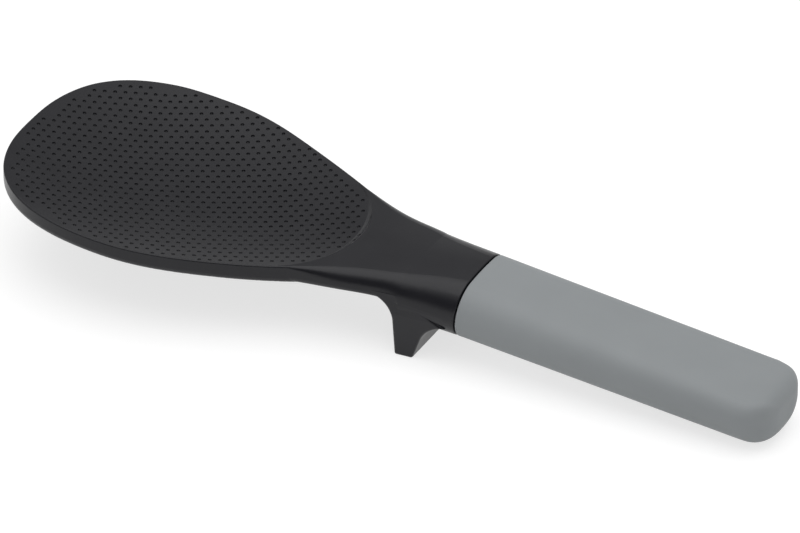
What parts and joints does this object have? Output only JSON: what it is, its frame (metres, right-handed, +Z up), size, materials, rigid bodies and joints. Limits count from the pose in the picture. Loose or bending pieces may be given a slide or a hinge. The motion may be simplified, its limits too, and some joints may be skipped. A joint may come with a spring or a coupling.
{
  "type": "rice paddle",
  "caption": "Rice paddle with a dished, dimpled black blade, a tool rest under the neck that holds the blade off the worktop, and a soft grey grip.",
  "frame": {"origin": "on the worktop, below the middle of the length and width", "axes": "+X from the blade's tip to the grip's butt, +Z up from the worktop, and the tool is mirror symmetric about the XZ plane"},
  "size_m": [0.2408, 0.0804, 0.0306],
  "materials": {
    "black_nylon": "satin moulded",
    "grey_soft_touch": "matte soft touch",
    "core_plastic": "moulded",
    "ballast_steel": "bright drawn"
  },
  "bodies": {
    "root": {"paddle": "black_nylon", "core": "core_plastic", "ballast": "ballast_steel", "grip": "grey_soft_touch"}
  },
  "joints": []
}
